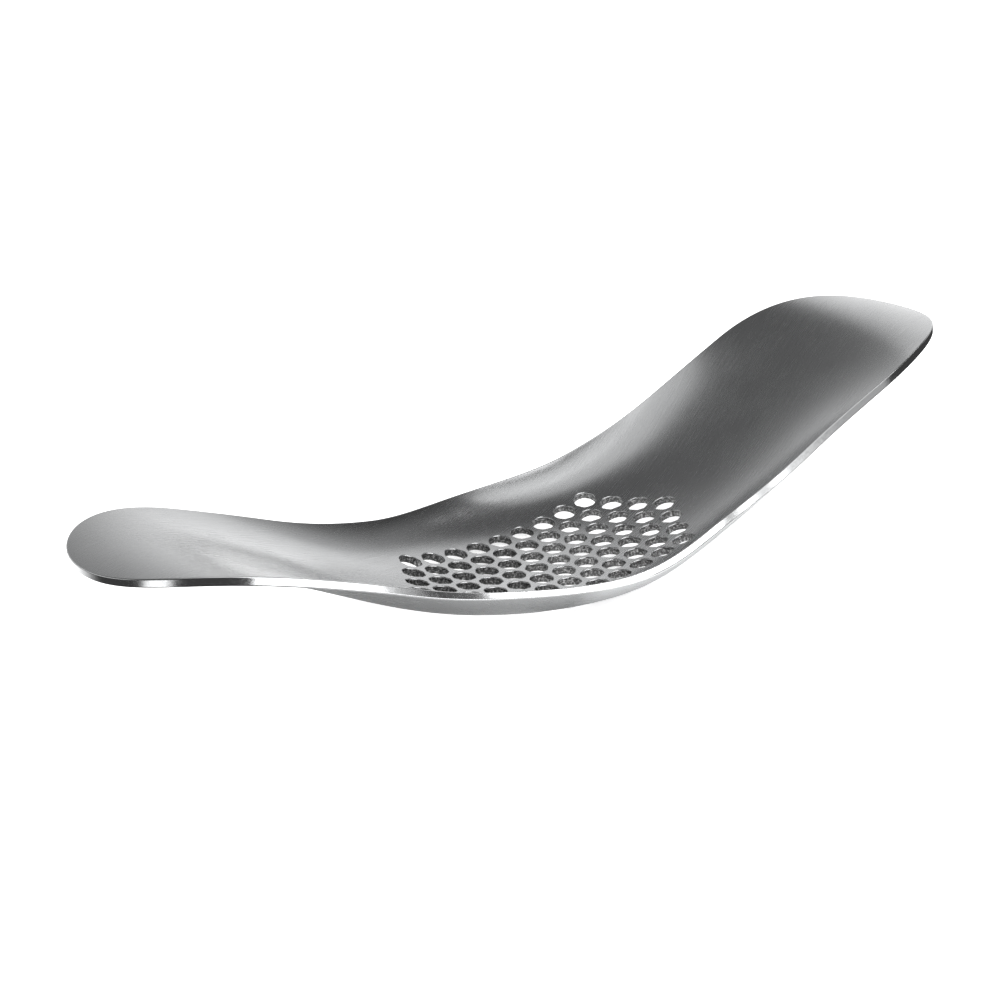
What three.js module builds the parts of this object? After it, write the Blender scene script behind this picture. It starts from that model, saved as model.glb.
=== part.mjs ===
// Rocker garlic press: one plate of stainless sheet, perforated in the middle, whose turned-up
// edges and two rising arms are all pressed from the same blank. Millimetres, +Z up. The plate
// rocks along X and is symmetric about X = 0 and Y = 0. The lowest point of its underside is
// the origin.

import * as THREE from 'three';

// ---------------------------------------------------------------- driving dimensions

const sheetThickness = 1.5;
const edgeBreak = 0.4; // how far the polished outer edge is rounded off on each face

// the flat blank, from the middle out to either end
const blankLength = 197;
const middleWidth = 55; // across the perforations
const shoulderWidth = 48.1; // a quarter of the way to an end
const waistWidth = 44; // half way
const gripWidth = 43; // three quarters of the way
const tipWidth = 43.8; // where the two sides would be at the very end, were it not rounded
const endRounding = 29.5; // length of blank over which each end is rounded
const endSquareness = 2.1; // 2 gives an ellipse, more gives a squarer end

// the perforations, on a triangular lattice whose rows run along the plate
const holeDiameter = 4.2;
const holePitch = 5.25;
const holesPerRow = [9, 10, 11, 12, 11, 10, 9];

// the pressed shape: slope of the centre line in degrees, against distance from the middle as
// a share of half the length. The middle is the rocker, and the ends level out and dip a little.
const centreSlope = [
  [0, 0], [0.15, 6.8], [0.3, 16.8], [0.45, 26], [0.6, 28.3], [0.75, 25.2], [0.875, 12.5], [1, -11],
];

// how far the two long edges are turned up, in degrees, against the same distance
const edgeTurnUp = [[0, 56], [0.25, 57], [0.5, 34.5], [0.75, 12], [1, 0]];

// facets
const holeSides = 16;
const armSteps = 9; // between the perforations and the rounding of an end
const endSteps = 9;
const stepAcross = 4.3;

// ---------------------------------------------------------------- derived sizes

const halfLength = blankLength / 2;
const holeRadius = holeDiameter / 2;
const rowSpacing = holePitch * Math.sqrt(3) / 2;
const cellCorner = holePitch / Math.sqrt(3); // centre of a hexagonal cell to its corner
const middleRow = (holesPerRow.length - 1) / 2;
const perforatedHalf = Math.max(...holesPerRow) * holePitch / 2;
const widthAlongBlank = [
  [0, middleWidth], [0.25, shoulderWidth], [0.5, waistWidth], [0.75, gripWidth], [1, tipWidth],
];

// ---------------------------------------------------------------- the pressed surface

// Smooth curve through the stations. A curve with parity 1 mirrors about the middle of the
// plate, and one with parity -1 changes sign there.
function smoothThrough(stations, parity) {
  const mirrored = [-stations[1][0], parity * stations[1][1]];
  const all = [mirrored, ...stations];
  const rise = (i) => (all[i + 1][1] - all[i][1]) / (all[i + 1][0] - all[i][0]);
  const tangent = (i) => {
    if (i === all.length - 1) return 1.5 * rise(i - 1) - 0.5 * tangent(i - 1);
    const before = all[i][0] - all[i - 1][0];
    const after = all[i + 1][0] - all[i][0];
    return (rise(i - 1) * after + rise(i) * before) / (before + after);
  };
  const tangents = all.map((_, i) => (i === 0 ? 0 : tangent(i)));
  return (distance) => {
    const x = Math.min(Math.abs(distance), 1);
    let i = 1;
    while (i < all.length - 2 && x > all[i + 1][0]) i += 1;
    const step = all[i + 1][0] - all[i][0];
    const s = (x - all[i][0]) / step;
    const value = (1 + 2 * s) * (1 - s) ** 2 * all[i][1]
      + s ** 2 * (3 - 2 * s) * all[i + 1][1]
      + s * (1 - s) ** 2 * step * tangents[i]
      - s ** 2 * (1 - s) * step * tangents[i + 1];
    return distance < 0 ? parity * value : value;
  };
}

const slopeCurve = smoothThrough(centreSlope, -1);
const turnUpCurve = smoothThrough(edgeTurnUp, 1);
const widthCurve = smoothThrough(widthAlongBlank, 1);
const slopeAt = (u) => THREE.MathUtils.degToRad(slopeCurve(u / halfLength));
const turnUpAt = (u) => THREE.MathUtils.degToRad(turnUpCurve(u / halfLength));
const sideAt = (u) => widthCurve(u / halfLength) / 2;

// Where the centre line has got to after a length u of it, starting at the middle.
function centreLineAt(u) {
  const steps = 200;
  let x = 0;
  let z = 0;
  for (let i = 0; i < steps; i += 1) {
    const slope = slopeAt(u * (i + 0.5) / steps);
    x += Math.cos(slope) * u / steps;
    z += Math.sin(slope) * u / steps;
  }
  return [x, z];
}

// How far the section is turned up at v across the blank. In the middle of the plate the turn
// gathers near the edges, and toward the ends it spreads into a plain arc.
function sectionAngle(u, v) {
  const gathered = Math.cos(Math.PI / 2 * Math.min(Math.abs(u) / halfLength, 1)) ** 2;
  const s = v / sideAt(u);
  return turnUpAt(u) * ((1 - gathered) * s + gathered * s ** 3);
}

// The point of the plate at (u, v) on the blank and at a depth below the upper face.
function pressed(u, v, depth) {
  const steps = 40;
  let across = 0;
  let rise = 0;
  for (let i = 0; i < steps; i += 1) {
    const angle = sectionAngle(u, v * (i + 0.5) / steps);
    across += Math.cos(angle) * v / steps;
    rise += Math.sin(angle) * v / steps;
  }
  const edge = sectionAngle(u, v);
  across += depth * Math.sin(edge);
  rise -= depth * Math.cos(edge);
  const slope = slopeAt(u);
  const [x, z] = centreLineAt(u);
  return [x - Math.sin(slope) * rise, across, z + Math.cos(slope) * rise + sheetThickness];
}

// ---------------------------------------------------------------- the blank, cut into triangles

const blankPoints = [];
const faceTriangles = [];
const numberOfPoint = new Map();

function point(u, v) {
  const key = `${u.toFixed(5)},${v.toFixed(5)}`.replaceAll('-0.00000', '0.00000');
  if (!numberOfPoint.has(key)) {
    numberOfPoint.set(key, blankPoints.length);
    blankPoints.push([u, v]);
  }
  return numberOfPoint.get(key);
}

// Triangles between two chains of points that run the same way, the first chain on the left.
function stitch(left, right) {
  const reach = (a, b) => Math.hypot(
    blankPoints[a][0] - blankPoints[b][0],
    blankPoints[a][1] - blankPoints[b][1],
  );
  let i = 0;
  let j = 0;
  while (i < left.length - 1 || j < right.length - 1) {
    const stepLeft = i < left.length - 1 ? reach(left[i + 1], right[j]) : Infinity;
    const stepRight = j < right.length - 1 ? reach(left[i], right[j + 1]) : Infinity;
    if (stepLeft < stepRight) {
      faceTriangles.push([left[i], right[j], left[i + 1]]);
      i += 1;
    } else {
      faceTriangles.push([left[i], right[j], right[j + 1]]);
      j += 1;
    }
  }
}

function circleOfPoints(u, v, radius, sides) {
  const points = [];
  for (let k = 0; k <= sides; k += 1) {
    const angle = Math.PI / 2 + 2 * Math.PI * k / sides;
    points.push(point(u + radius * Math.cos(angle), v + radius * Math.sin(angle)));
  }
  return points;
}

// Each hole sits in a hexagonal cell of the lattice, and the cells share their corners.
const holeRings = [];
holesPerRow.forEach((count, row) => {
  const v = (row - middleRow) * rowSpacing;
  for (let i = 0; i < count; i += 1) {
    const u = (i - (count - 1) / 2) * holePitch;
    const ring = circleOfPoints(u, v, holeRadius, holeSides);
    holeRings.push(ring);
    stitch(ring, circleOfPoints(u, v, cellCorner, 6));
  }
});

// The blank outline is a run of stations along the length. The ends close with a superellipse.
const stations = [];
for (let k = 0; k <= 2 * Math.max(...holesPerRow); k += 1) {
  stations.push(k * holePitch / 2 - perforatedHalf);
}
const roundingStart = halfLength - endRounding;
for (let k = 1; k <= armSteps; k += 1) {
  const u = perforatedHalf + (roundingStart - perforatedHalf) * k / armSteps;
  stations.push(u, -u);
}
for (let k = 1; k <= endSteps; k += 1) {
  const u = roundingStart + endRounding * Math.sin(Math.PI / 2 * k / endSteps);
  stations.push(u, -u);
}
stations.sort((a, b) => a - b);

function halfWidthAt(u) {
  const s = Math.max((Math.abs(u) - roundingStart) / endRounding, 0);
  return sideAt(u) * Math.max(1 - s ** endSquareness, 0) ** (1 / endSquareness);
}

const lowerSide = stations.map((u) => [u, -halfWidthAt(u)]);
const upperSide = stations.map((u) => [u, halfWidthAt(u)]).slice(1, -1).reverse();
const outline = [...lowerSide, ...upperSide];

// Both faces stop short of the outline by the width of the rounded edge.
const faceBorder = outline.map(([u, v], k) => {
  const before = outline.at(k - 1);
  const after = outline[(k + 1) % outline.length];
  const along = [after[0] - before[0], after[1] - before[1]];
  const size = Math.hypot(...along);
  return point(u - edgeBreak * along[1] / size, v + edgeBreak * along[0] / size);
});
const borderBelow = (k) => faceBorder[k];
const borderAbove = (k) => faceBorder[(outline.length - k) % outline.length];

// Points between the first and last of a column, closer together toward the turned-up edge.
function pointsToward(edge, from, to, u, side) {
  const cells = Math.max(Math.round((to - from) / stepAcross), 1);
  const points = [];
  for (let k = 1; k < cells; k += 1) {
    const share = k / cells;
    const eased = 0.6 * share + 0.4 * Math.sin(Math.PI / 2 * share);
    points.push(point(u, side * (from + (to - from) * eased)));
  }
  return [...points, edge];
}

// Highest point of the perforated cells on the line at u, as seen from one side of that line.
function fieldTop(u, toward) {
  const corners = [];
  holesPerRow.slice(middleRow).forEach((count, row) => {
    const end = count * holePitch / 2;
    const inside = Math.abs(u + toward * holePitch / 4) < end;
    const onCentre = Math.abs(Math.round(u / holePitch - (count - 1) / 2)
      - (u / holePitch - (count - 1) / 2)) < 0.25;
    if (inside) corners.push(row * rowSpacing + (onCentre ? cellCorner : cellCorner / 2));
  });
  return Math.max(...corners, -1);
}

// Points of the field boundary on the line at u, from the height seen on one side outward.
function column(k, toward, side) {
  const u = stations[k];
  const edge = side > 0 ? borderAbove(k) : borderBelow(k);
  const start = fieldTop(u, toward);
  const top = Math.max(fieldTop(u, 1), fieldTop(u, -1));
  const points = [point(u, side * start)];
  if (top - start > 0.01) points.push(point(u, side * top));
  return [...points, ...pointsToward(edge, top, halfWidthAt(u), u, side)];
}

// A whole column, from one long edge to the other.
function fullColumn(k) {
  const u = stations[k];
  if (k === 0 || k === stations.length - 1) return [borderBelow(k)];
  const onField = Math.abs(Math.abs(u) - perforatedHalf) < 0.01;
  const from = onField ? cellCorner / 2 : 0;
  const half = (edge, side) => pointsToward(edge, from, halfWidthAt(u), u, side);
  const middle = onField ? [point(u, -from), point(u, from)] : [point(u, 0)];
  return [...half(borderBelow(k), -1).reverse(), ...middle, ...half(borderAbove(k), 1)];
}

for (let k = 0; k < stations.length - 1; k += 1) {
  const middle = (stations[k] + stations[k + 1]) / 2;
  if (Math.abs(middle) > perforatedHalf) {
    stitch(fullColumn(k), fullColumn(k + 1));
  } else {
    stitch(column(k, 1, 1), column(k + 1, -1, 1));
    stitch(column(k, 1, -1).reverse(), column(k + 1, -1, -1).reverse());
  }
}

// ---------------------------------------------------------------- the closed plate

const vertices = [];
const triangles = [];
const upperFace = blankPoints.map(([u, v]) => vertices.push(pressed(u, v, 0)) - 1);
const underside = blankPoints.map(([u, v]) => vertices.push(pressed(u, v, sheetThickness)) - 1);

faceTriangles.forEach(([a, b, c]) => {
  triangles.push([upperFace[a], upperFace[b], upperFace[c]]);
  triangles.push([underside[c], underside[b], underside[a]]);
});

// A wall of two triangles a step, with the metal on the left of the upper loop.
function wall(upper, lower) {
  upper.forEach((start, k) => {
    const next = (k + 1) % upper.length;
    triangles.push([start, lower[k], lower[next]]);
    triangles.push([start, lower[next], upper[next]]);
  });
}

holeRings.forEach((ring) => {
  const loop = ring.slice(1).reverse();
  wall(loop.map((p) => upperFace[p]), loop.map((p) => underside[p]));
});

const edgeLoop = (depth) => outline.map(([u, v]) => vertices.push(pressed(u, v, depth)) - 1);
const edgeUpper = edgeLoop(edgeBreak);
const edgeLower = edgeLoop(sheetThickness - edgeBreak);
wall(faceBorder.map((p) => upperFace[p]), edgeUpper);
wall(edgeUpper, edgeLower);
wall(edgeLower, faceBorder.map((p) => underside[p]));

const geometry = new THREE.BufferGeometry();
geometry.setAttribute('position', new THREE.Float32BufferAttribute(vertices.flat(), 3));
geometry.setIndex(triangles.flat());
geometry.computeVertexNormals();

const stainless = new THREE.MeshStandardMaterial({
  name: 'satin_stainless_steel',
  color: 0xb9bcbe,
  roughness: 0.34,
  metalness: 1,
});

const plate = new THREE.Mesh(geometry, stainless);
plate.name = 'press_plate';

const garlicPress = new THREE.Group();
garlicPress.name = 'rocker_garlic_press';
garlicPress.add(plate);

export default garlicPress;
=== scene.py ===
"""A rocker garlic press: one perforated plate of pressed stainless sheet on a pale floor."""

import math

import bpy
import numpy as np
from mathutils import Matrix, Vector
from mathutils.geometry import delaunay_2d_cdt


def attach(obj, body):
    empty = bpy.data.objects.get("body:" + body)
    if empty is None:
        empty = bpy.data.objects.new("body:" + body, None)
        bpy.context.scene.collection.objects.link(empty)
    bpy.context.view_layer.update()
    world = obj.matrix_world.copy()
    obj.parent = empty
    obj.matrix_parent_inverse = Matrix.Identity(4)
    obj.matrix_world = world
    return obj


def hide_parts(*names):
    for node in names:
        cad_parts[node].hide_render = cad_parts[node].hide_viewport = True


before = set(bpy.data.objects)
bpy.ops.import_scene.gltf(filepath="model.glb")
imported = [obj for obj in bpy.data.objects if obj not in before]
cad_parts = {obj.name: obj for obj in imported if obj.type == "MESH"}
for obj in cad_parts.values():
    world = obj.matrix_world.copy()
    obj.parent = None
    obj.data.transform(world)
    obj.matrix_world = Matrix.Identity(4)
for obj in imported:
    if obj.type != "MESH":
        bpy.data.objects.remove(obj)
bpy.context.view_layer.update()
MM = 0.001

# ---------------------------------------------------------------------------------------------
# Camera. A short telephoto look down on the press from its front left, with a slight tilt, so
# that the left end comes forward and the right end rises away.

scene = bpy.context.scene
scene.view_settings.view_transform = "Standard"
scene.view_settings.look = "None"


def toward(azimuth, elevation):
    """Unit vector in degrees. Azimuth 0 is the front of the press, 90 its right end."""
    az, el = math.radians(azimuth), math.radians(elevation)
    return Vector((math.sin(az) * math.cos(el), -math.cos(az) * math.cos(el), math.sin(el)))


def facing_press(direction, distance, middle):
    """Where a camera or a lamp goes that looks back along a direction at a middle."""
    turned = direction.to_track_quat("Z", "Y").to_matrix().to_4x4()
    return Matrix.Translation(middle + direction * distance) @ turned


camera_azimuth = -38.06
camera_elevation = 21.56
camera_tilt = -2.83
camera_distance = 436.2 * MM
camera_target = Vector((-6.5, 4.8, 14.4)) * MM

camera_data = bpy.data.cameras.new("product_camera")
camera_data.sensor_width = 36.0
camera_data.lens = 87.95
camera_data.clip_start = 10 * MM
camera = bpy.data.objects.new("product_camera", camera_data)
scene.collection.objects.link(camera)
scene.camera = camera
upright = facing_press(toward(camera_azimuth, camera_elevation), camera_distance, camera_target)
camera.matrix_world = upright @ Matrix.Rotation(math.radians(camera_tilt), 4, "Z")


# ---------------------------------------------------------------------------------------------
# Studio. A white table in a dark room that is bright low down at the back; the steel sees pools of
# painted light and painted shade on the table. Softboxes stand overhead, front right and back right,
# and a low glowing card and a fan of small lamps brighten the near edge. The dark room between them
# gives the steel its dark bands.


def srgb(hex_code):
    """Linear RGBA of an sRGB hex colour."""
    channels = [int(hex_code[i:i + 2], 16) / 255 for i in (1, 3, 5)]
    linear = [c / 12.92 if c <= 0.04045 else ((c + 0.055) / 1.055) ** 2.4 for c in channels]
    return (*linear, 1.0)


def add_node(tree, kind, settings=None, **links):
    """Adds a node. Settings are its own properties. Links go to its inputs by name, underscores
    for spaces, or by number as i0, i1: a socket is linked, a plain value is set on the input."""
    node = tree.nodes.new(kind)
    for name, value in (settings or {}).items():
        setattr(node, name, value)
    for name, value in links.items():
        key = int(name[1:]) if name[0] == "i" and name[1:].isdigit() else name.replace("_", " ")
        if isinstance(value, bpy.types.NodeSocket):
            tree.links.new(value, node.inputs[key])
        else:
            node.inputs[key].default_value = value
    return node


def fill_ramp(node, stops):
    """Sets a colour ramp to (position, grey) stops."""
    ramp = node.color_ramp
    while len(ramp.elements) > 1:
        ramp.elements.remove(ramp.elements[-1])
    for index, (position, grey) in enumerate(stops):
        stop = ramp.elements[0] if index == 0 else ramp.elements.new(position)
        stop.position = position
        stop.color = (grey, grey, grey, 1.0)


# radiance of the room by elevation in degrees, behind the press and in front of it
room_behind = [
    (0, 1.1), (7, 0.72), (20, 0.56), (28, 0.46), (36, 0.22), (44, 0.12), (74, 0.12), (84, 0.35),
]
room_in_front = [(0, 0.03), (20, 0.05), (40, 0.12), (60, 0.16), (74, 0.25), (84, 0.35)]
front_ends, back_starts = -0.35, 0.25  # the heading's Y between which one fades into the other

world = bpy.data.worlds.new("studio_room")
scene.world = world
world.use_nodes = True
room = world.node_tree
room.nodes.clear()
direction = add_node(room, "ShaderNodeTexCoord").outputs["Generated"]
heading = add_node(room, "ShaderNodeSeparateXYZ", Vector=direction).outputs
ramps = []
for stations in (room_in_front, room_behind):
    ramp = add_node(room, "ShaderNodeValToRGB", Fac=heading["Z"])
    fill_ramp(ramp, [(math.sin(math.radians(e)), grey) for e, grey in stations])
    ramps.append(ramp.outputs["Color"])
behind = add_node(
    room, "ShaderNodeMapRange", {"interpolation_type": "SMOOTHSTEP"}, Value=heading["Y"],
    From_Min=front_ends, From_Max=back_starts,
)
seen_in_steel = add_node(
    room, "ShaderNodeMixRGB", Fac=behind.outputs[0], Color1=ramps[0], Color2=ramps[1],
)
kind_of_ray = add_node(room, "ShaderNodeLightPath").outputs
reflected = add_node(room, "ShaderNodeBackground", Color=seen_in_steel.outputs[0])
fill_light = add_node(room, "ShaderNodeBackground", Color=srgb("#ffffff"), Strength=1.8)
backdrop = add_node(room, "ShaderNodeBackground", Color=srgb("#ffffff"), Strength=1.1)
lit = add_node(
    room, "ShaderNodeMixShader", Fac=kind_of_ray["Is Diffuse Ray"],
    i1=reflected.outputs[0], i2=fill_light.outputs[0],
)
shown = add_node(
    room, "ShaderNodeMixShader", Fac=kind_of_ray["Is Camera Ray"],
    i1=lit.outputs[0], i2=backdrop.outputs[0],
)
add_node(room, "ShaderNodeOutputWorld", Surface=shown.outputs[0])

floor_radius = 6.0
floor_sides = 64
floor_mesh = bpy.data.meshes.new("white_table")
corners = [
    (floor_radius * math.cos(a), floor_radius * math.sin(a), 0)
    for a in (2 * math.pi * k / floor_sides for k in range(floor_sides))
]
floor_mesh.from_pydata(corners, [], [tuple(range(floor_sides))])
floor = bpy.data.objects.new("white_table", floor_mesh)
scene.collection.objects.link(floor)

# Matt white table. It looks evenly white with a faint shadow, but what the steel reflects of it
# is painted light and shade: pools of painted light on painted dark shade. Each has a middle, a
# radius that is evenly lit and one where the light ends, in millimetres, and how light it is.
painted_light_pools = [
    ((-20, 140, 0), 100, 160, 1.0),  # the wide one behind the press
    # painted half shade under the left half of the rocker, dimmer than the other pools
    ((-30, -12, 0), 25, 45, 0.6),  # under the left half of the rocker
    ((36, -22, 0), 40, 56, 1.0),  # under the right arm
    ((-146, -50, 0), 12, 32, 1.0),  # beside the left end
]
# painted shade: the dark colour of the table between the pools of painted light
painted_shade_between_pools = 0.03
table_with_painted_pools = bpy.data.materials.new("white_table_painted_pools")
table_with_painted_pools.use_nodes = True
table = table_with_painted_pools.node_tree
table.nodes.clear()
seen_directly = add_node(table, "ShaderNodeLightPath").outputs["Is Camera Ray"]
place = add_node(table, "ShaderNodeTexCoord").outputs["Object"]
painted_pool_light = painted_shade_between_pools
for middle, full, end, level in painted_light_pools:
    from_pool = add_node(
        table, "ShaderNodeVectorMath", {"operation": "DISTANCE"}, i0=place, i1=Vector(middle) * MM,
    )
    pool = add_node(
        table, "ShaderNodeMapRange", {"interpolation_type": "SMOOTHSTEP"},
        Value=from_pool.outputs["Value"], From_Min=full * MM, From_Max=end * MM,
        To_Min=level, To_Max=0.0,
    )
    brighter = add_node(
        table, "ShaderNodeMath", {"operation": "MAXIMUM"}, i0=pool.outputs[0], i1=painted_pool_light,
    )
    painted_pool_light = brighter.outputs[0]
# the camera sees plain white; every other ray sees the pools of painted light and the painted shade
# between them
white_or_painted_pools = add_node(
    table, "ShaderNodeMixRGB", Fac=seen_directly, Color1=painted_pool_light, Color2=srgb("#f4f4f4"),
)
table_surface = add_node(table, "ShaderNodeBsdfDiffuse", Color=white_or_painted_pools.outputs[0])
table_glow = add_node(table, "ShaderNodeEmission", Color=srgb("#ffffff"), Strength=0.62)
no_glow = add_node(table, "ShaderNodeEmission", Color=srgb("#ffffff"), Strength=0.0)
glow = add_node(
    table, "ShaderNodeMixShader", Fac=seen_directly, i1=no_glow.outputs[0], i2=table_glow.outputs[0],
)
both = add_node(table, "ShaderNodeAddShader", i0=table_surface.outputs[0], i1=glow.outputs[0])
add_node(table, "ShaderNodeOutputMaterial", Surface=both.outputs[0])
floor_mesh.materials.append(table_with_painted_pools)


def softbox(name, azimuth, elevation, distance, width, height, radiance, middle=Vector()):
    """An area light that faces a middle, the origin of the press unless another is given."""
    light = bpy.data.lights.new(name, "AREA")
    light.shape = "RECTANGLE"
    light.size = width
    light.size_y = height
    light.energy = radiance * math.pi * width * height
    lamp = bpy.data.objects.new(name, light)
    scene.collection.objects.link(lamp)
    lamp.matrix_world = facing_press(toward(azimuth, elevation), distance, middle)
    lamp.visible_camera = False
    lamp.visible_diffuse = False
    return lamp


softbox("overhead_softbox", 60, 83, 1.1, 0.52, 0.52, 0.45)
softbox("front_right_softbox", 18, 62, 1.2, 0.8, 0.5, 0.8)
softbox("back_right_softbox", 131, 17, 1.2, 0.5, 0.8, 0.45)

# A fan of small lamps with grids, each aimed at its own stretch of the near edge, where it stands
# in the direction that the edge mirrors. The grids keep their light off the far wall. Each has the
# place along the press that it is aimed at, in millimetres, and its azimuth and elevation.
fan = [
    (-30, 86, 40), (-20, 91, 53), (-10, 82, 61), (0, 80, 52), (10, 92, 44),
    (20, 89, 52), (30, 57, 61), (40, 27, 50),
]
fan_reach = 0.3
fan_lamp_size = 0.05
fan_radiance = 0.02  # low, because a grid gathers the light of the whole lamp into its beam
fan_grid = math.radians(14)
near_edge_y, near_edge_z = -26, 10
for count, (along, azimuth, elevation) in enumerate(fan):
    lamp = softbox(
        f"near_edge_lamp_{count}", azimuth, elevation, fan_reach, fan_lamp_size, fan_lamp_size,
        fan_radiance, Vector((along, near_edge_y, near_edge_z)) * MM,
    )
    lamp.data.spread = fan_grid

# the low card in front, which glows like a lamp seen only in reflections; its glow is painted into
# shade toward its right end
card_left, card_right = -65 * MM, 125 * MM
card_top = 105 * MM
card_front = -100 * MM
card_shade_starts, card_shade_ends = 55 * MM, 80 * MM
card_lit, card_shaded = 2.2, 0.45
card_mesh = bpy.data.meshes.new("front_card")
card_mesh.from_pydata(
    [
        (card_left, card_front, 0), (card_right, card_front, 0),
        (card_right, card_front, card_top), (card_left, card_front, card_top),
    ], [], [(3, 2, 1, 0)],
)
card = bpy.data.objects.new("front_card", card_mesh)
scene.collection.objects.link(card)
card.visible_camera = False
card.visible_diffuse = False
card.visible_shadow = False
card_glow_material = bpy.data.materials.new("glowing_card_painted_shade")
card_glow_material.use_nodes = True
tree = card_glow_material.node_tree
tree.nodes.clear()
place = add_node(tree, "ShaderNodeTexCoord").outputs["Object"]
card_place = add_node(tree, "ShaderNodeSeparateXYZ", Vector=place)
# the card's glow, painted darker toward its right end as painted shade
card_strength = add_node(
    tree, "ShaderNodeMapRange", {"interpolation_type": "SMOOTHSTEP"}, Value=card_place.outputs["X"],
    From_Min=card_shade_starts, From_Max=card_shade_ends, To_Min=card_lit, To_Max=card_shaded,
)
card_light = add_node(
    tree, "ShaderNodeEmission", Color=srgb("#ffffff"), Strength=card_strength.outputs[0],
)
add_node(tree, "ShaderNodeOutputMaterial", Surface=card_light.outputs[0])
card_mesh.materials.append(card_glow_material)

# ---------------------------------------------------------------------------------------------
# Press plate. One piece of 1.5 mm stainless sheet, blanked to a waisted oblong with rounded
# ends, punched with 72 holes, then pressed so that the middle becomes a rocker with turned-up
# edges and the ends rise into handles. The long edges are buffed round.

sheet = 1.5  # millimetres, like every size of the blank
blank_half = 98.5
end_rounding = 29.5
end_squareness = 2.1
blank_width = [(0, 55), (0.25, 48.1), (0.5, 44), (0.75, 43), (1, 43.8)]
centre_slope = [
    (0, 0), (0.15, 6.8), (0.3, 16.8), (0.45, 26), (0.6, 28.3), (0.75, 25.2), (0.875, 12.5), (1, -11),
]
edge_turn_up = [(0, 56), (0.25, 57), (0.5, 34.5), (0.75, 12), (1, 0)]
hole_radius = 2.1
hole_pitch = 5.25
holes_per_row = [9, 10, 11, 12, 11, 10, 9]
edge_radius = 0.22
hole_lip = 0.2  # rounding where the punch went in
hole_burr = 0.04  # the same where it came out, deburred
nudge = 0.01  # the step that directions on the pressed sheet are measured over


def smooth_through(stations, parity):
    """A smooth curve through stations, mirrored about 0 with that sign."""
    points = [(-stations[1][0], parity * stations[1][1])] + stations
    x, y = np.array(points, float).T
    rise = np.diff(y) / np.diff(x)
    step = np.diff(x)
    slope = np.zeros(len(x))
    slope[1:-1] = (rise[:-1] * step[1:] + rise[1:] * step[:-1]) / (step[:-1] + step[1:])
    slope[-1] = 1.5 * rise[-1] - 0.5 * slope[-2]

    def value(at):
        far = np.minimum(np.abs(at), 1.0)
        i = np.clip(np.searchsorted(x, far) - 1, 1, len(x) - 2)
        s = (far - x[i]) / step[i]
        curve = (1 + 2 * s) * (1 - s) ** 2 * y[i] + s ** 2 * (3 - 2 * s) * y[i + 1]
        curve += s * (1 - s) * step[i] * ((1 - s) * slope[i] - s * slope[i + 1])
        return np.where(at < 0, parity * curve, curve)

    return value


slope_curve = smooth_through(centre_slope, -1)
turn_up_curve = smooth_through(edge_turn_up, 1)
width_curve = smooth_through(blank_width, 1)

# the centre line, walked in small steps from just past one end to just past the other
walk_past = 1.01
walk_points = 2021
walk = np.linspace(-walk_past * blank_half, walk_past * blank_half, walk_points)
walk_slope = np.radians(slope_curve(walk / blank_half))
walk_step = walk[1] - walk[0]
walk_x = np.cumsum(np.cos(walk_slope)) * walk_step
walk_z = np.cumsum(np.sin(walk_slope)) * walk_step
walk_x -= np.interp(0, walk, walk_x)
walk_z -= np.interp(0, walk, walk_z)


def section_angle(u, v):
    """How far the sheet is turned up at v across the blank. In the middle the turn gathers near
    the edges, and toward the ends it spreads into a plain arc."""
    gathered = np.cos(np.pi / 2 * np.minimum(np.abs(u) / blank_half, 1)) ** 2
    s = v / (width_curve(u / blank_half) / 2)
    return np.radians(turn_up_curve(u / blank_half)) * ((1 - gathered) * s + gathered * s ** 3)


section_stations = 8


def pressed(u, v, depth):
    """Where a point of the blank ends up, in millimetres, at a depth below the upper face. The
    section is walked out to v in one sum over Gauss's stations."""
    nodes, weights = np.polynomial.legendre.leggauss(section_stations)
    along = section_angle(u[:, None], v[:, None] * (nodes + 1) / 2)
    across = (np.cos(along) @ weights) * v / 2
    rise = (np.sin(along) @ weights) * v / 2
    edge = section_angle(u, v)
    across += depth * np.sin(edge)
    rise -= depth * np.cos(edge)
    slope = np.radians(slope_curve(u / blank_half))
    x = np.interp(u, walk, walk_x) - np.sin(slope) * rise
    z = np.interp(u, walk, walk_z) + np.cos(slope) * rise + sheet
    return np.stack([x, across, z], -1)


def unit(vectors):
    return vectors / np.linalg.norm(vectors, axis=-1, keepdims=True)


def facing_up(u, v, depth):
    """Unit normals of the sheet, pointing out of its upper face."""
    along = pressed(u + nudge, v, depth) - pressed(u - nudge, v, depth)
    across = pressed(u, v + nudge, depth) - pressed(u, v - nudge, depth)
    return unit(np.cross(along, across))


def half_width(u):
    """Half the blank's width. The ends are half superellipses."""
    s = np.clip((np.abs(u) - (blank_half - end_rounding)) / end_rounding, 0, 1)
    return width_curve(u / blank_half) / 2 * (1 - s ** end_squareness) ** (1 / end_squareness)


# the outline, in even steps, found along a finer one
turn = np.linspace(0, 2 * np.pi, 4001)[:-1]
rough_u = blank_half * np.cos(turn)
rough = np.stack([rough_u, np.sign(np.sin(turn)) * half_width(rough_u)], -1)
rough = np.vstack([rough, rough[:1]])
walked = np.append(0, np.cumsum(np.linalg.norm(np.diff(rough, axis=0), axis=1)))
outline_steps = 440
even = np.linspace(0, walked[-1], outline_steps + 1)[:-1]
outline = np.stack([np.interp(even, walked, rough[:, side]) for side in (0, 1)], -1)
ahead = unit(np.roll(outline, -1, 0) - np.roll(outline, 1, 0))
outline_out = np.stack([ahead[:, 1], -ahead[:, 0]], -1)

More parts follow.
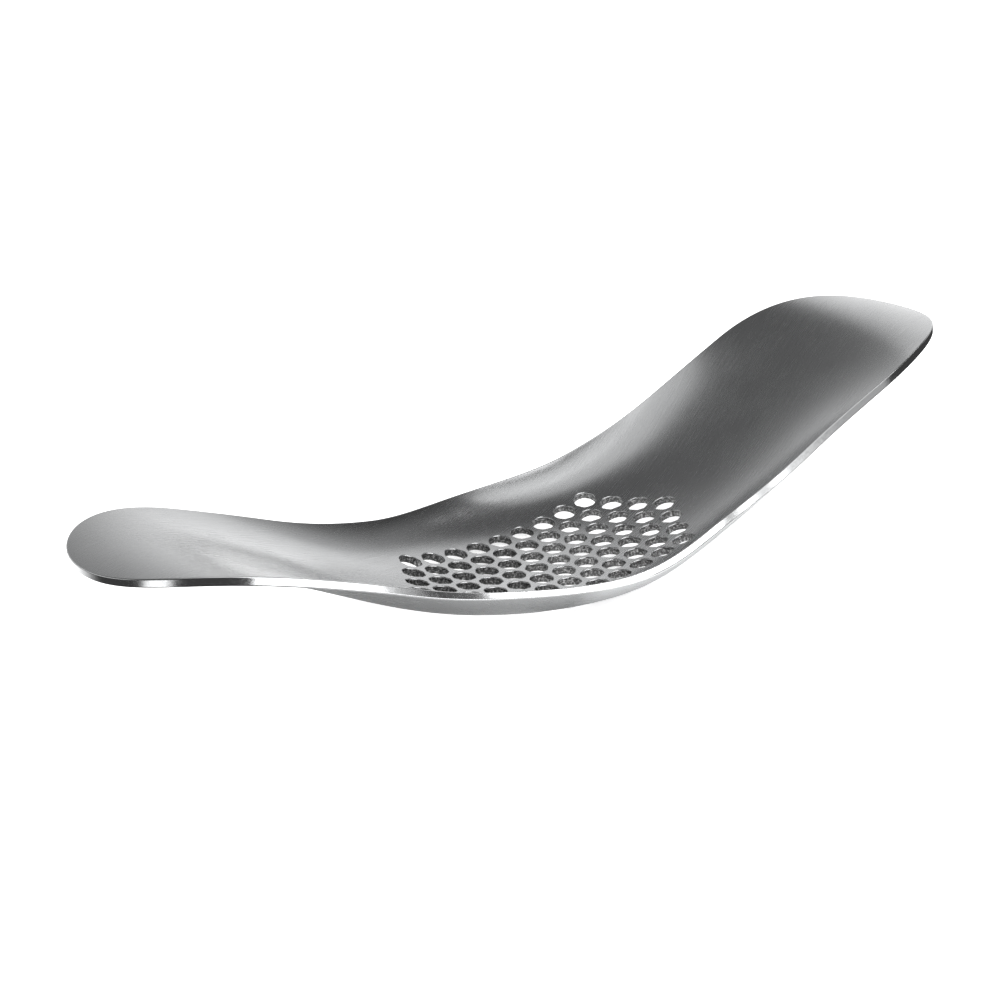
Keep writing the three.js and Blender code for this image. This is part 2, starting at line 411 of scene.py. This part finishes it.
# the holes, on a triangular lattice
row_spacing = hole_pitch * math.sqrt(3) / 2
hole_centres = [
    ((i - (count - 1) / 2) * hole_pitch, (row - (len(holes_per_row) - 1) / 2) * row_spacing)
    for row, count in enumerate(holes_per_row)
    for i in range(count)
]
hole_sides = 40
around = 2 * np.pi * np.arange(hole_sides) / hole_sides
circle = np.stack([np.cos(around), np.sin(around)], -1)

vertices, normals, blank_places = [], [], []
quads, triangles = [], []


def add_vertices(places, depth, out=None, tilt=0.0, upper=True):
    """Adds vertices at places on the blank. The normal is the face's own, tilted toward out."""
    first = sum(len(block) for block in vertices)
    u, v = places[:, 0], places[:, 1]
    deep = np.full(len(places), float(depth))
    point = pressed(u, v, deep)
    normal = facing_up(u, v, deep) * (1 if upper else -1)
    if out is not None:
        sideways = unit(pressed(u + nudge * out[:, 0], v + nudge * out[:, 1], deep) - point)
        normal = unit(math.cos(tilt) * normal + math.sin(tilt) * sideways)
    vertices.append(point * MM)
    normals.append(normal)
    blank_places.append(places)
    return np.arange(first, first + len(places))


def add_band(ring_a, ring_b, material):
    """Faces between two closed rings."""
    a, b = ring_a, ring_b
    an, bn = np.roll(a, -1), np.roll(b, -1)
    for face in zip(a, b, bn, an):
        quads.append((tuple(int(i) for i in face), material))


def rim(base, out, top_radius, bottom_radius, material, steps=5):
    """A rim round a closed loop whose sheet lies opposite to out, and which runs with the metal on
    its left. Its upper rounding is buffed, and the wall and the lower rounding are of the material
    given.
    Returns the loops that join it to the upper and lower faces."""
    rings = []
    for k in range(steps + 1):
        tilt = math.pi / 2 * k / steps
        inset = top_radius * (1 - math.sin(tilt))
        depth = top_radius * (1 - math.cos(tilt))
        rings.append(add_vertices(base - out * inset, depth, out, tilt))
    for k in range(steps + 1):
        tilt = math.pi / 2 * (1 - k / steps)
        inset = bottom_radius * (1 - math.sin(tilt))
        depth = sheet - bottom_radius * (1 - math.cos(tilt))
        rings.append(add_vertices(base - out * inset, depth, out, tilt, upper=False))
    for k, (ring_a, ring_b) in enumerate(zip(rings, rings[1:])):
        add_band(ring_a, ring_b, EDGE if k < steps else material)
    return rings[0], rings[-1]


FACE, HOLE_WALL, EDGE = 0, 1, 2
loops = [rim(outline, outline_out, edge_radius, edge_radius, EDGE)]
for centre in hole_centres:
    # seen from inside the hole the metal is outward, so the loop runs clockwise
    places = np.array(centre) + hole_radius * circle[::-1]
    loops.append(rim(places, -circle[::-1], hole_lip, hole_burr, HOLE_WALL, steps=4))

# points that fill the faces, on a fine triangular grid clear of every rim
fill_step = 1.4
rows_each_side, points_each_side = 24, 72
rows = np.arange(-rows_each_side, rows_each_side + 1) * fill_step * math.sqrt(3) / 2
grid = np.array([
    (i * fill_step + (j % 2) * fill_step / 2, v)
    for j, v in enumerate(rows)
    for i in range(-points_each_side, points_each_side + 1)
])


def clear_of_rims(points, gap):
    """Which points lie at least a gap inside the outline and outside every hole."""
    inside = np.abs(points[:, 1]) < half_width(points[:, 0]) - gap
    from_edge = np.min(np.linalg.norm(points[:, None] - outline[None], axis=2), axis=1)
    centres = np.array(hole_centres)
    from_hole = np.min(np.linalg.norm(points[:, None] - centres[None], axis=2), axis=1)
    return inside & (from_edge > gap) & (from_hole > hole_radius + gap)


fill_gap = 0.5  # between the rounding of a rim and the first points of the face
grid = grid[clear_of_rims(grid, edge_radius + fill_gap)]


weld_within = 1e-6


def add_face(rim_loops, depth, upper):
    """Triangulates one face of the sheet between its rims, and joins it to them."""
    filling = add_vertices(grid, depth, upper=upper)
    places = np.vstack(blank_places)
    members = np.concatenate(rim_loops + [filling])
    borders = []
    start = 0
    for loop in rim_loops:
        count = len(loop)
        borders += [(start + k, start + (k + 1) % count) for k in range(count)]
        start += count
    flat = [Vector(places[m]) for m in members]
    made = delaunay_2d_cdt(flat, borders, [], 0, weld_within)
    faces_made, sources = made[2], made[3]
    original = [ids[0] for ids in sources]
    centres = np.array(hole_centres)
    for face in faces_made:
        corner = [int(members[original[i]]) for i in face]
        middle = places[corner].mean(0)
        in_hole = np.min(np.linalg.norm(centres - middle, axis=1)) < hole_radius
        outside = abs(middle[1]) > half_width(middle[:1])[0] - edge_radius
        if in_hole or outside:
            continue
        a, b, c = places[corner]
        positive = (b[0] - a[0]) * (c[1] - a[1]) - (b[1] - a[1]) * (c[0] - a[0]) > 0
        triangles.append(tuple(corner if positive == upper else corner[::-1]))


add_face([upper for upper, lower in loops], 0.0, True)
add_face([lower for upper, lower in loops], sheet, False)

plate_mesh = bpy.data.meshes.new("press_plate_steel")
faces = [face for face, material in quads] + triangles
materials = [material for face, material in quads] + [FACE] * len(triangles)
plate_mesh.from_pydata(np.vstack(vertices).tolist(), [], faces)
plate_mesh.polygons.foreach_set("material_index", materials)
plate_mesh.polygons.foreach_set("use_smooth", [True] * len(faces))
plate_mesh.normals_split_custom_set_from_vertices(np.vstack(normals).tolist())

# the flat blank is the plate's texture map, in metres
blank_map = plate_mesh.uv_layers.new(name="blank")
corner_vertices = np.zeros(len(plate_mesh.loops), int)
plate_mesh.loops.foreach_get("vertex_index", corner_vertices)
corner_places = np.vstack(blank_places)[corner_vertices] * MM
blank_map.data.foreach_set("uv", corner_places.astype(np.float32).ravel())

plate = bpy.data.objects.new("press_plate_steel", plate_mesh)
scene.collection.objects.link(plate)

# Stainless sheet, belt-brushed at a slight angle to its length before it was blanked. The grain
# blurs reflections across it and leaves them sharper along it.
grain_angle = math.radians(15)


def steel_material(name):
    material = bpy.data.materials.new(name)
    material.use_nodes = True
    material.node_tree.nodes.clear()
    return material, material.node_tree


brushed, tree = steel_material("stainless_steel_belt_brushed")
flat_place = add_node(tree, "ShaderNodeUVMap", {"uv_map": "blank"}).outputs["UV"]
turned = add_node(tree, "ShaderNodeMapping", Vector=flat_place, Rotation=(0, 0, -grain_angle))
# real belt lines are near 0.1 mm wide; these are 0.18 mm so that they show
grain_width = 0.18 * MM
grain_length = 7 * MM
stretched = add_node(
    tree, "ShaderNodeMapping", Vector=turned.outputs[0],
    Scale=(1 / grain_length, 1 / grain_width, 1),
)
grain = add_node(
    tree, "ShaderNodeTexNoise", Vector=stretched.outputs[0], Scale=1.0, Detail=3.0, Roughness=0.6,
)
grain_roughness = add_node(
    tree, "ShaderNodeMapRange", Value=grain.outputs["Fac"],
    From_Min=0.3, From_Max=0.7, To_Min=0.2, To_Max=0.3,
)
# handling and washing have dulled the faces unevenly, in patches as wide as a fingertip
patch_size = 16 * MM
patch_place = add_node(
    tree, "ShaderNodeMapping", Vector=flat_place, Scale=(1 / patch_size, 1 / patch_size, 1),
)
patches = add_node(
    tree, "ShaderNodeTexNoise", Vector=patch_place.outputs[0], Scale=1.0, Detail=3.0, Roughness=0.55,
)
dulling = add_node(
    tree, "ShaderNodeMapRange", Value=patches.outputs["Fac"],
    From_Min=0.3, From_Max=0.7, To_Min=-0.03, To_Max=0.03,
)
face_roughness = add_node(
    tree, "ShaderNodeMath", {"operation": "ADD"},
    i0=grain_roughness.outputs[0], i1=dulling.outputs[0],
)
relief = add_node(
    tree, "ShaderNodeBump", Height=grain.outputs["Fac"], Strength=0.35, Distance=0.02 * MM,
)
across_grain = add_node(
    tree, "ShaderNodeTangent", {"direction_type": "UV_MAP", "uv_map": "blank"},
)
steel = add_node(
    tree, "ShaderNodeBsdfPrincipled", Base_Color=srgb("#c9cacb"), Metallic=1.0,
    Roughness=face_roughness.outputs[0], Anisotropic=0.7,
    Anisotropic_Rotation=0.25 + grain_angle / (2 * math.pi),
    Normal=relief.outputs[0], Tangent=across_grain.outputs[0],
)
add_node(tree, "ShaderNodeOutputMaterial", Surface=steel.outputs[0])

# Punched hole walls: sheared steel, dark and pitted, with bright flecks where the punch has
# burnished it.
sheared, tree = steel_material("stainless_steel_sheared")
place = add_node(tree, "ShaderNodeTexCoord").outputs["Object"]
fleck_size = 0.4 * MM
fleck_place = add_node(tree, "ShaderNodeMapping", Vector=place, Scale=[1 / fleck_size] * 3)
flecks = add_node(
    tree, "ShaderNodeTexNoise", Vector=fleck_place.outputs[0], Scale=1.0, Detail=2.0, Roughness=0.5,
)
fleck_tone = add_node(tree, "ShaderNodeValToRGB", Fac=flecks.outputs["Fac"])
fleck_tones = [(0.42, "#5c5c5c"), (0.56, "#868686"), (0.68, "#cccccc")]
fill_ramp(fleck_tone, [(position, srgb(tone)[0]) for position, tone in fleck_tones])
pitting = add_node(
    tree, "ShaderNodeBump", Height=flecks.outputs["Fac"], Strength=1.0, Distance=0.16 * MM,
)
steel = add_node(
    tree, "ShaderNodeBsdfPrincipled", Base_Color=fleck_tone.outputs["Color"], Metallic=1.0,
    Roughness=0.28, Normal=pitting.outputs[0],
)
add_node(tree, "ShaderNodeOutputMaterial", Surface=steel.outputs[0])

# Buffed edge: the blanked edge rounded and polished on a mop, near mirror bright. The mop leaves
# it slightly rippled, and smoother in some spots than in others, so its highlights waver.
buffed, tree = steel_material("stainless_steel_buffed_edge")
place = add_node(tree, "ShaderNodeTexCoord").outputs["Object"]
ripple_size = 0.8 * MM
ripple_place = add_node(tree, "ShaderNodeMapping", Vector=place, Scale=[1 / ripple_size] * 3)
ripples = add_node(
    tree, "ShaderNodeTexNoise", Vector=ripple_place.outputs[0], Scale=1.0, Detail=4.0, Roughness=0.65,
)
buffed_roughness = add_node(
    tree, "ShaderNodeMapRange", Value=ripples.outputs["Fac"],
    From_Min=0.3, From_Max=0.7, To_Min=0.11, To_Max=0.22,
)
rippling = add_node(
    tree, "ShaderNodeBump", Height=ripples.outputs["Fac"], Strength=0.3, Distance=0.03 * MM,
)
steel = add_node(
    tree, "ShaderNodeBsdfPrincipled", Base_Color=srgb("#e2e3e4"), Metallic=1.0,
    Roughness=buffed_roughness.outputs[0], Normal=rippling.outputs[0],
)
add_node(tree, "ShaderNodeOutputMaterial", Surface=steel.outputs[0])

for material in (brushed, sheared, buffed):
    plate_mesh.materials.append(material)

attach(plate, "root")
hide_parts("press_plate")
